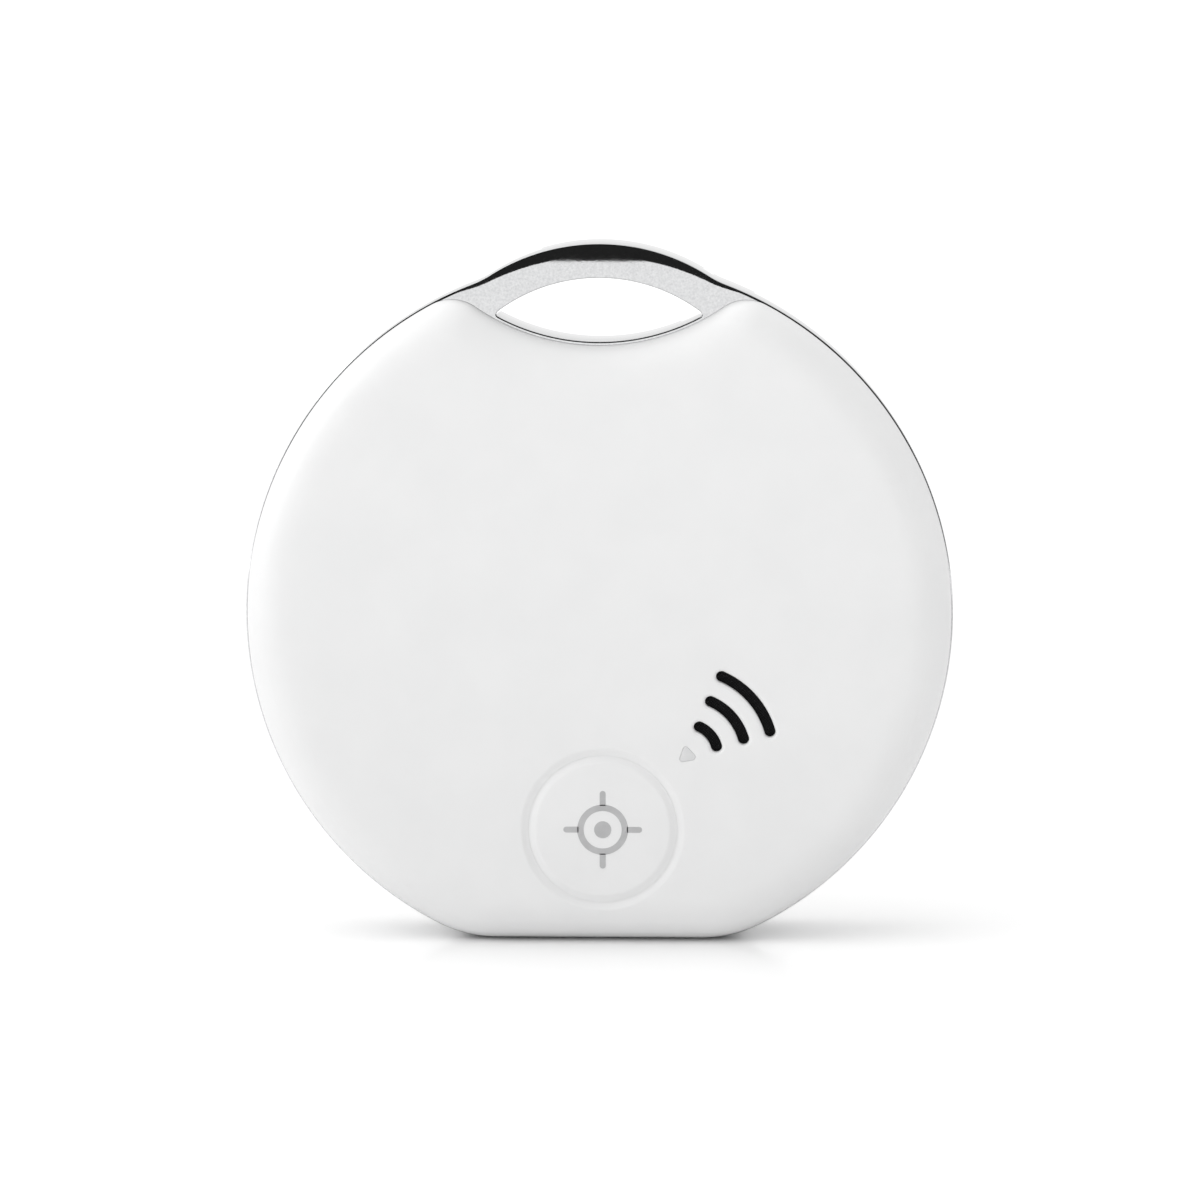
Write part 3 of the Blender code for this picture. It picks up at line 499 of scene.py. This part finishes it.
def woven_mesh():
    """Black cloth: sine of x times sine of z gives the threads' heights and tones; the darker tone in the
    dips between threads is painted shade.
    """
    finish = Finish("woven_mesh", roughness=0.75, specular_ior_level=0.15)
    place = finish.node("SeparateXYZ")
    finish.link(finish.place(), place.inputs["Vector"])
    heights = []
    for axis, shift in (("X", 0.0), ("Z", math.pi / 2)):
        wave = finish.node("Math", operation="MULTIPLY_ADD")
        wave.inputs[1].default_value = 2 * math.pi / WEAVE_PITCH
        wave.inputs[2].default_value = shift
        finish.link(place.outputs[axis], wave.inputs[0])
        sine = finish.node("Math", operation="SINE")
        finish.link(wave.outputs["Value"], sine.inputs[0])
        heights.append(sine.outputs["Value"])
    product = finish.node("Math", operation="MULTIPLY")
    finish.link(heights[0], product.inputs[0])
    finish.link(heights[1], product.inputs[1])
    thread = finish.spread(product.outputs["Value"], 0, 1, -1, 1)
    # painted shade: the tone follows the thread height, darkest in the dips between threads
    tones = [(0.2, (0.001, 0.001, 0.0012)), (0.9, (0.012, 0.012, 0.013))]
    finish.link(finish.ramp(thread, tones), finish.shader.inputs["Base Color"])
    finish.bump(thread, 0.00003)
    return finish.material


def milky_plastic():
    """The light's lens: a pale grey that lets little light through."""
    finish = Finish("milky_plastic")
    finish.vary([(0.59, 0.592, 0.595), (0.62, 0.621, 0.624)], (0.3, 0.38), 1500)
    finish.bump(finish.noise(12000, 2.0), 0.000001)
    return finish.material


def grey_ink():
    """Printed ink, duller than the plastic under it."""
    finish = Finish("grey_ink", specular_ior_level=0.35)
    finish.vary([(0.40, 0.40, 0.405), (0.44, 0.44, 0.445)], (0.5, 0.6), 1400)
    finish.bump(finish.noise(14000, 2.0), 0.000001)
    return finish.material


def moulded(name, dark, light, roughness=(0.4, 0.55), grain=9000, depth=0.000002, **values):
    """Moulded plastic, resin, foam or powder: two close tones, a soft sheen and a fine grain."""
    finish = Finish(name, **values)
    finish.vary([dark, light], roughness, 1200)
    finish.bump(finish.noise(grain, 3.0), depth)
    return finish.material


def rolled(name, dark, light, roughness=(0.22, 0.34), depth=0.0000012, stretch=(1, 1, 14)):
    """Rolled or brushed sheet metal: a noise drawn out along one way gives its lines."""
    finish = Finish(name, metallic=1.0)
    mapping = finish.node("Mapping")
    mapping.inputs["Scale"].default_value = stretch
    finish.link(finish.place(), mapping.inputs["Vector"])
    lines = finish.node("TexNoise")
    lines.inputs["Scale"].default_value = 900
    lines.inputs["Detail"].default_value = 4
    finish.link(mapping.outputs["Vector"], lines.inputs["Vector"])
    grain = lines.outputs["Fac"]
    finish.link(finish.ramp(grain, [(0.35, dark), (0.65, light)]), finish.shader.inputs["Base Color"])
    finish.link(finish.spread(grain, *roughness), finish.shader.inputs["Roughness"])
    finish.bump(grain, depth)
    return finish.material


def solder_mask():
    """Green lacquer over copper tracks, which show as slightly lighter bands."""
    finish = Finish("solder_mask", coat_weight=0.3)
    tracks = finish.node("TexVoronoi", feature="DISTANCE_TO_EDGE", distance="MANHATTAN")
    tracks.inputs["Scale"].default_value = 420
    finish.link(finish.place(), tracks.inputs["Vector"])
    band = finish.spread(tracks.outputs["Distance"], 1, 0, 0.05, 0.12)
    tones = [(0.0, (0.012, 0.10, 0.045)), (1.0, (0.03, 0.20, 0.09))]
    finish.link(finish.ramp(band, tones), finish.shader.inputs["Base Color"])
    finish.link(finish.spread(finish.noise(1500), 0.25, 0.4), finish.shader.inputs["Roughness"])
    finish.bump(band, 0.00002)
    return finish.material


def materials():
    """One finish for each material slot of the record, and the ink."""
    return {
        "cover_white": satin_white(),
        "chrome_plate": chrome_plate(),
        "mesh_black": woven_mesh(),
        "guide_plastic": milky_plastic(),
        "ink": grey_ink(),
        "foam_black": moulded(
            "foam_black", (0.02, 0.02, 0.02), (0.05, 0.05, 0.05), (0.85, 1.0), 6000, 0.00004
        ),
        "piezo_brass": rolled("piezo_brass", (0.66, 0.50, 0.24), (0.80, 0.64, 0.34)),
        "piezo_ceramic": moulded("piezo_ceramic", (0.70, 0.69, 0.66), (0.78, 0.77, 0.74), (0.3, 0.45)),
        "contact_bronze": rolled("contact_bronze", (0.72, 0.55, 0.26), (0.86, 0.70, 0.38), (0.15, 0.25)),
        "solder_mask": solder_mask(),
        "chip_black": moulded("chip_black", (0.018, 0.018, 0.02), (0.04, 0.04, 0.043)),
        "part_steel": rolled("part_steel", (0.52, 0.52, 0.53), (0.66, 0.66, 0.67)),
        "plunger_plastic": moulded("plunger_plastic", (0.13, 0.13, 0.14), (0.18, 0.18, 0.19)),
        "led_plastic": moulded("led_plastic", (0.72, 0.70, 0.62), (0.80, 0.78, 0.70), (0.2, 0.3)),
        "part_ceramic": moulded("part_ceramic", (0.68, 0.64, 0.55), (0.76, 0.72, 0.63), (0.45, 0.6)),
        "capacitor_tan": moulded("capacitor_tan", (0.36, 0.24, 0.14), (0.48, 0.33, 0.20), (0.4, 0.55)),
        "tray_grey": moulded(
            "tray_grey", (0.075, 0.078, 0.082), (0.10, 0.103, 0.108), (0.45, 0.58), 7000, 0.000006
        ),
        "cell_steel": rolled("cell_steel", (0.62, 0.62, 0.61), (0.74, 0.74, 0.73), (0.2, 0.3), 0.0000008),
        "seal_plastic": moulded("seal_plastic", (0.60, 0.61, 0.62), (0.70, 0.71, 0.72), (0.3, 0.4)),
        "cathode_black": moulded("cathode_black", (0.015, 0.015, 0.015), (0.03, 0.03, 0.03), (0.8, 0.95)),
        "lithium": rolled("lithium", (0.52, 0.53, 0.55), (0.64, 0.65, 0.67), (0.4, 0.6)),
        "screw_steel": rolled("screw_steel", (0.56, 0.57, 0.58), (0.70, 0.71, 0.72), (0.2, 0.32)),
    }


# ---- the object's pieces ----


def cover_edge():
    """Distances in from the outline, from the rim to FACE_START, closer together where the rounded edge
    turns fastest: COVER_STEP + EDGE_REACH × (1 - sin t)."""
    top = math.asin(1 - (FACE_START - COVER_STEP) / EDGE_REACH)
    return [COVER_STEP + EDGE_REACH * (1 - math.sin(t)) for t in np.linspace(math.pi / 2, top, 22)]


def smooth_step(value, low, high):
    """3t² - 2t³, where t runs from 0 at low to 1 at high."""
    t = np.clip((value - low) / (high - low), 0, 1)
    return t * t * (3 - 2 * t)


def scooped(patches):
    """Lifts the rear cover's rim by PRY_HEIGHT along the middle of the flat, for a fingernail. The lift
    fades out sideways, with depth, and up to the lip."""
    for points, _ in patches:
        above_flat = points[:, 2]
        wide = 1 - smooth_step(np.abs(points[:, 0]), PRY_WIDTH / 2 - 0.4 * MM, PRY_WIDTH / 2 + 0.1 * MM)
        deep = 1 - smooth_step(points[:, 1], -BAND_Y + PRY_DEPTH - 0.3 * MM, -BAND_Y + PRY_DEPTH + 0.2 * MM)
        low = 1 - np.clip((above_flat - COVER_STEP) / (LIP_OUT - COVER_STEP), 0, 1)
        outside = points[:, 1] > -RIM_Y - 0.01 * MM
        points[:, 2] += PRY_HEIGHT * wide * deep * low * outside
    return patches


def cover_skin(facing, lip_end, holes, hole_walls, name, material, body, node):
    """A cover: rounded edge, face, rim, lip and inside, each the outline moved in parallel or filled.
    facing is -1 for the front and 1 for the rear."""
    front = BACK_Y if facing > 0 else FACE_Y

    def height(points, distance=None):
        return front - facing * face_fall(points, distance)

    edge = [placed(cover_outline(-d), height(cover_outline(-d), d)) for d in cover_edge()]
    outer = cover_outline(-FACE_START)
    rim_y = facing * -RIM_Y
    small = LIP_EDGE
    inside_y = front - facing * WALL
    soft = inside_y - facing * 0.7 * MM
    lip = [
        (-COVER_STEP, rim_y),
        (-COVER_STEP - small, rim_y),
        (-LIP_OUT + small, rim_y),
        (-LIP_OUT, rim_y),
        (-LIP_OUT, rim_y - facing * small),
        (-LIP_OUT, lip_end + facing * small),
        (-LIP_OUT - small, lip_end),
        (-LIP_IN + small, lip_end),
        (-LIP_IN, lip_end + facing * small),
        (-LIP_IN, soft),
    ]
    for step in range(1, 9):
        turn = math.radians(90) * step / 8
        lip.append((-LIP_IN - 0.9 * MM * (1 - math.cos(turn)), soft + (inside_y - soft) * math.sin(turn)))
    inner = cover_outline(lip[-1][0])
    patches = [
        grid(edge),
        filled(outer, [h[0] for h in holes], height, FACE_LATTICE),
        swept(cover_outline, lip),
        filled(inner, [h[1] for h in holes], inside_y, INSIDE_LATTICE),
    ]
    if facing > 0:
        patches = scooped(patches)
    return piece(name, patches + hole_walls, material, body, node)


def hole_wall(outline, mouth, reach):
    """A hole's outer and inner loops and the wall between them. mouth is a (grow, depth) profile, where
    depth is measured from the face."""
    rows = []
    for grow, depth in mouth:
        loop = outline(grow)
        rows.append(placed(loop, FACE_Y + face_fall(loop) + depth))
    end = outline(mouth[-1][0])
    for y in np.linspace(FACE_Y + WALL / 3, FACE_Y + reach, 3):
        rows.append(placed(end, y))
    return (outline(mouth[0][0]), end), grid(rows)


def front_cover(finish):
    """The face with its holes. The groove round the button falls by a half cosine, the slots' mouths are
    quarter ellipses, and the light's hole has a small round."""
    s = np.linspace(0, 1, 15)
    moat = list(zip(MOAT_REACH * (1 - s), MOAT_DEPTH / 2 * (1 - np.cos(math.pi * s))))
    hole = BUTTON_RADIUS + BUTTON_GAP
    turn = s * math.pi / 2
    mouth = list(zip(SLOT_EDGE[0] * (1 - np.sin(turn)), SLOT_EDGE[1] * (1 - np.cos(turn))))
    soft = list(zip(GUIDE_MOUTH[0] * (1 - s[::2]), GUIDE_MOUTH[1] * (1 - np.cos(turn[::2]))))
    made = [hole_wall(lambda grow: ring_outline(hole + grow, BUTTON, ROUND_STEPS), moat, WALL)]
    for radius in SLOT_RADII:
        made.append(hole_wall(lambda grow, radius=radius: slot_outline(radius, grow), mouth, WALL))
    made.append(hole_wall(lambda grow: guide_outline(grow + GUIDE_GAP), soft, WALL))
    loops = [m[0] for m in made]
    walls = [m[1] for m in made]
    lip_end = LEDGE_Y[0] - COVER_GAP
    return cover_skin(-1, lip_end, loops, walls, "front_cover_shell", finish, "case", "front_cover")


def rear_cover(finish):
    """The plain back, whose lip ends on the battery tray."""
    return cover_skin(1, REAR_LOW.y, [], [], "rear_cover_shell", finish, "rear_cover", "rear_cover")


def chrome_frame(finish):
    """Band with quarter-round edges along three outlines: its outside, the eye and the inside with its
    ledge. The flats lead into the outer edges by a shallow parabola."""
    quarter = np.linspace(0, math.pi / 2, 7)
    edge = [(FRAME_EDGE * (1 - math.sin(t)), FRAME_EDGE * (1 - math.cos(t))) for t in quarter]
    lead = [(inset, LEAD_RISE * (1 - (inset - FRAME_EDGE) / LEAD_REACH) ** 2) for inset in LEAD_INSETS]
    support = LEAD_INSETS[0] + FILL_SUPPORT
    front = [(-support, BAND_Y)] + [(-inset, BAND_Y + depth) for inset, depth in lead]
    front += [(-inset, BAND_Y + LEAD_RISE + depth) for inset, depth in edge]
    side = front + [(grow, -y) for grow, y in reversed(front)]
    eye_front = [(-EYE_EDGE - FILL_SUPPORT, BAND_Y)]
    eye_front += [(-EYE_EDGE * (1 - math.sin(t)), BAND_Y + EYE_EDGE * (1 - math.cos(t))) for t in quarter]
    eye = [(-grow, y) for grow, y in eye_front + [(grow, -y) for grow, y in reversed(eye_front)]]
    inner = [(-FRAME_WALL - grow, y) for grow, y in front]
    ledge = [
        (-FRAME_WALL, LEDGE_Y[0]),
        (-LEDGE_REACH, LEDGE_Y[0]),
        (-LEDGE_REACH, LEDGE_Y[1]),
        (-FRAME_WALL, LEDGE_Y[1]),
    ]
    inner = inner + ledge + [(grow, -y) for grow, y in reversed(inner)]
    patches = [swept(frame_outline, side), swept(eye_outline, eye), swept(cover_outline, inner)]
    loops = frame_outline(-support), eye_outline(EYE_EDGE + FILL_SUPPORT), cover_outline(support - FRAME_WALL)
    for y in (BAND_Y, -BAND_Y):
        patches.append(filled(loops[0], loops[1:], y))
    return piece("chrome_band_and_handle", patches, finish, "case", "chrome_frame", 35)


def button(finish, ink):
    """The cap: face, half of the groove, side, flange and the post that reaches for the switch."""
    s = np.linspace(0, 1, 15)
    face = [(radius, 0) for radius in (POLE, 1.2 * MM, 2.4 * MM, BUTTON_RADIUS - MOAT_REACH - 0.1 * MM)]
    groove = zip(BUTTON_RADIUS - MOAT_REACH * (1 - s), MOAT_DEPTH / 2 * (1 - np.cos(math.pi * s)))
    rows = []
    for radius, depth in [*face, *groove]:
        loop = ring_outline(radius, BUTTON, ROUND_STEPS)
        rows.append(placed(loop, FACE_Y + face_fall(loop) + depth))
    flange_y = FACE_Y + WALL + COVER_GAP
    flange_back = flange_y + FLANGE_THICK
    for radius, y in (
        (BUTTON_RADIUS, FACE_Y + WALL / 3),
        (BUTTON_RADIUS, flange_y),
        (FLANGE_RADIUS, flange_y),
        (FLANGE_RADIUS, flange_back),
        (POST_RADIUS, flange_back),
        (POST_RADIUS, CAP_HIGH.y),
        (POLE, CAP_HIGH.y),
    ):
        loop = ring_outline(radius, BUTTON, ROUND_STEPS)
        loop[:, 1] = np.maximum(loop[:, 1], CAP_LOW.z - DISC_Z) if radius > BUTTON_RADIUS else loop[:, 1]
        rows.append(placed(loop, y))
    piece("button_cap_shell", [grid(rows)], finish, "button", "button_cap")
    button_print(ink)


def button_print(ink):
    """A find-me sign in a thin coat of ink: a dot, a ring round it and four short ticks."""
    front, back = FACE_Y - INK_THICK, FACE_Y + INK_THICK
    low, high = SIGN_RING
    band = [(low, back), (low, front), (high, front), (high, back), (low, back)]
    dot = [(0, front), (SIGN_DOT, front), (SIGN_DOT, back), (0, back)]
    patches = [turned(band, BUTTON, 120), turned(dot, BUTTON, 64)]
    for turn in range(4):
        angle = math.pi / 2 * turn
        ray = np.array([math.cos(angle), math.sin(angle)])
        side = np.array([-ray[1], ray[0]]) * SIGN_TICK_HALF
        inner, outer = (BUTTON + ray * reach for reach in SIGN_TICK)
        end = arc(outer, SIGN_TICK_HALF, angle - math.pi / 2, angle + math.pi / 2, 10)
        tick = np.concatenate([[inner - side], end, [inner + side]])
        for y in (front, back):
            patches.append(filled(tick, [], y))
        patches.append(grid([placed(tick, front), placed(tick, back)]))
    return piece("button_print", patches, ink, "button", crease=30)


def light_guide(finish):
    """A three-sided lens with a quarter-round edge, level with the face."""
    edge = [(-GUIDE_EDGE * (1 - t), GUIDE_EDGE * (1 - math.sqrt(1 - t * t))) for t in np.linspace(0, 1, 6)]
    foot_y = FACE_Y + WALL + COVER_GAP
    top = FACE_Y + face_fall(np.array([SIGNAL]))[0]
    rows = [placed(guide_outline(grow), top + depth) for grow, depth in edge]
    rows += [placed(guide_outline(0), foot_y), placed(guide_outline(0), GUIDE_HIGH.y)]
    patches = [
        grid(rows),
        filled(guide_outline(-GUIDE_EDGE), [], top),
        filled(guide_outline(0), [], GUIDE_HIGH.y),
    ]
    return piece("light_guide_lens", patches, finish, "case", "light_guide")


def slot_mesh(finish):
    """A round of cloth behind the slots."""
    middle = ((MESH_LOW.x + MESH_HIGH.x) / 2, (MESH_LOW.z + MESH_HIGH.z) / 2 - DISC_Z)
    radius = (MESH_HIGH.x - MESH_LOW.x) / 2
    profile = [(0, MESH_LOW.y), (radius, MESH_LOW.y), (radius, MESH_HIGH.y), (0, MESH_HIGH.y)]
    return piece("slot_mesh_cloth", [turned(profile, middle)], finish, "case", "slot_mesh")


def cell_can(finish):
    """The coin cell's can, open in front, with a rolled lip, a rounded back edge and a raised plus sign."""
    low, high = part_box("cell_can")
    middle = ((low.x + high.x) / 2, (low.z + high.z) / 2 - DISC_Z)
    outer, wall = (high.x - low.x) / 2, CELL_SHEET
    front, back = low.y, high.y
    profile = [
        (0, back - wall),
        (outer - wall, back - wall),
        (outer - wall, front + wall),
        (outer - 2 * wall, front + wall),
        (outer - 2 * wall, front),
        (outer, front),
        (outer, back),
        (0, back),
    ]
    patches = [turned(rounded(profile, 0.3 * MM, 6), middle, 200)]
    arm, half = 1.6 * MM, 0.22 * MM
    corners = [(half, arm), (half, half), (arm, half)]
    quarter = np.array(corners)
    turns = [quarter, quarter[::-1] * (1, -1), -quarter, quarter[::-1] * (-1, 1)]
    sign = np.concatenate(turns) + np.array(middle) + np.array([0, 5.2 * MM])
    proud = 0.03 * MM
    patches.append(filled(sign, [], back + proud))
    patches.append(grid([placed(sign, back + proud), placed(sign, back - wall / 2)]))
    patches.append(filled(sign, [], back - wall / 2))
    return piece("coin_cell_can", patches, finish, "case", "cell_can", 35)


def screw(number, finish):
    """A pan head with a cross recess, worked out over (radius, angle), on a plain shank."""
    low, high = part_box(f"screw_{number}")
    middle = np.array([(low.x + high.x) / 2, (low.z + high.z) / 2 - DISC_Z])
    head, shank = (high.x - low.x) / 2, 0.6 * MM
    reach = np.linspace(1e-4, 1, 72)[:, None] * head
    angle = np.linspace(0, 2 * math.pi, 193)[None, :-1]
    u, v = np.abs(reach * np.cos(angle)), np.abs(reach * np.sin(angle))
    arm, half = 0.62 * MM, 0.14 * MM
    inside = np.minimum(np.maximum(u - arm, v - half), np.maximum(v - arm, u - half))
    sunk = RECESS_DEPTH * (1 - smooth_step(inside, -0.045 * MM, 0.02 * MM))
    fall = 0.16 * MM * (1 - np.sqrt(1 - np.clip(reach / head, 0, 0.999) ** 6))
    y = high.y - fall - sunk
    x, z = middle[0] + reach * np.cos(angle), middle[1] + reach * np.sin(angle)
    top = placed(np.stack([x, z], -1), y)
    under = high.y - 0.5 * MM
    rest = [(head, high.y - 0.2 * MM), (head, under), (shank, under), (shank, low.y), (0, low.y)]
    rows = [placed(ring_outline(max(r, POLE), middle, 192), depth) for r, depth in rounded(rest, 0.05 * MM)]
    rows[0] = placed(ring_outline(head, middle, 192), high.y - 0.2 * MM)
    rows = [*top, *rows]
    return piece(f"screw_{number}_body", [grid(rows)], finish, "case", f"screw_{number}", 50)


# ---- stage ----


def camera():
    """Looks at the tag from a little above and to the right, from 28 cm."""
    turn, lift, reach = math.radians(1.5), math.radians(7.5), 0.28
    aim = Vector((0, 0, DISC_Z + 0.52 * MM))
    back = Vector((math.sin(turn) * math.cos(lift), -math.cos(turn) * math.cos(lift), math.sin(lift)))
    data = bpy.data.cameras.new("camera")
    data.sensor_width = 36
    data.lens = 155.3
    data.clip_start = 0.01
    made = bpy.data.objects.new("camera", data)
    bpy.context.scene.collection.objects.link(made)
    made.location = aim + back * reach
    made.rotation_euler = back.to_track_quat("Z", "Y").to_euler()
    bpy.context.scene.camera = made


def sheet(name, corners, material):
    """A flat four-sided thing of the stage."""
    mesh = bpy.data.meshes.new(name)
    mesh.from_pydata(corners, [], [(0, 1, 2, 3)])
    mesh.materials.append(material)
    made = bpy.data.objects.new(name, mesh)
    bpy.context.scene.collection.objects.link(made)
    return made


def softbox(size, place, power):
    """A square lamp that faces the origin."""
    data = bpy.data.lights.new("softbox", "AREA")
    data.size = size
    data.energy = power
    made = bpy.data.objects.new("softbox", data)
    bpy.context.scene.collection.objects.link(made)
    made.location = place
    made.rotation_euler = Vector(place).to_track_quat("Z", "Y").to_euler()


def soft_sun(name, towards, strength, angle):
    """Light from far off in that direction, with soft shadows."""
    data = bpy.data.lights.new(name, "SUN")
    data.energy = strength
    data.angle = math.radians(angle)
    made = bpy.data.objects.new(name, data)
    bpy.context.scene.collection.objects.link(made)
    made.rotation_euler = Vector(towards).to_track_quat("Z", "Y").to_euler()


def pale_floor():
    """White, with a gloss that fades out from 5 to 20 cm round the tag, so that only its foot is mirrored."""
    finish = Finish("pale_floor")
    finish.vary([(0.965, 0.965, 0.965), (0.975, 0.975, 0.975)], (0.14, 0.2), 30)
    length = finish.node("VectorMath", operation="LENGTH")
    finish.link(finish.place(), length.inputs[0])
    gloss = finish.spread(length.outputs["Value"], 0.5, 0, 0.05, 0.2)
    finish.link(gloss, finish.shader.inputs["Specular IOR Level"])
    return finish.material


def stage():
    """The floor ends 56 cm in front of the tag. The dark screen stands for the unlit side of the room, and
    only shiny things show it."""
    sheet("floor", FLOOR_EDGES, pale_floor())
    dark = Finish("dark_screen", base_color=(0.004, 0.004, 0.004), roughness=0.9).material
    screen = sheet("dark_screen", SCREEN_EDGES, dark)
    screen.visible_camera = False
    screen.visible_diffuse = False
    screen.visible_shadow = False
    soft_sun("key", towards=(-0.42, -0.12, 0.9), strength=0.85, angle=70)
    soft_sun("fill", towards=(0, -1, 0.06), strength=0.25, angle=40)
    softbox(size=0.9, place=(-0.95, -0.3, 0.35), power=3.2)
    world = bpy.data.worlds.new("studio")
    world.use_nodes = True
    background = world.node_tree.nodes["Background"]
    background.inputs["Color"].default_value = (1, 1, 1, 1)
    background.inputs["Strength"].default_value = 0.94
    bpy.context.scene.world = world
    bpy.context.scene.view_settings.view_transform = "Standard"


def main():
    camera()
    finishes = materials()
    front_cover(finishes["cover_white"])
    rear_cover(finishes["cover_white"])
    chrome_frame(finishes["chrome_plate"])
    button(finishes["cover_white"], finishes["ink"])
    light_guide(finishes["guide_plastic"])
    slot_mesh(finishes["mesh_black"])
    cell_can(finishes["cell_steel"])
    for number in range(1, 5):
        screw(number, finishes["screw_steel"])
    for part in frame["record"]["subparts"]:
        data = frame["nodes"][part["node"]].data
        data.materials.clear()
        data.materials.append(finishes[part["material_slot"]])
    stage()


main()
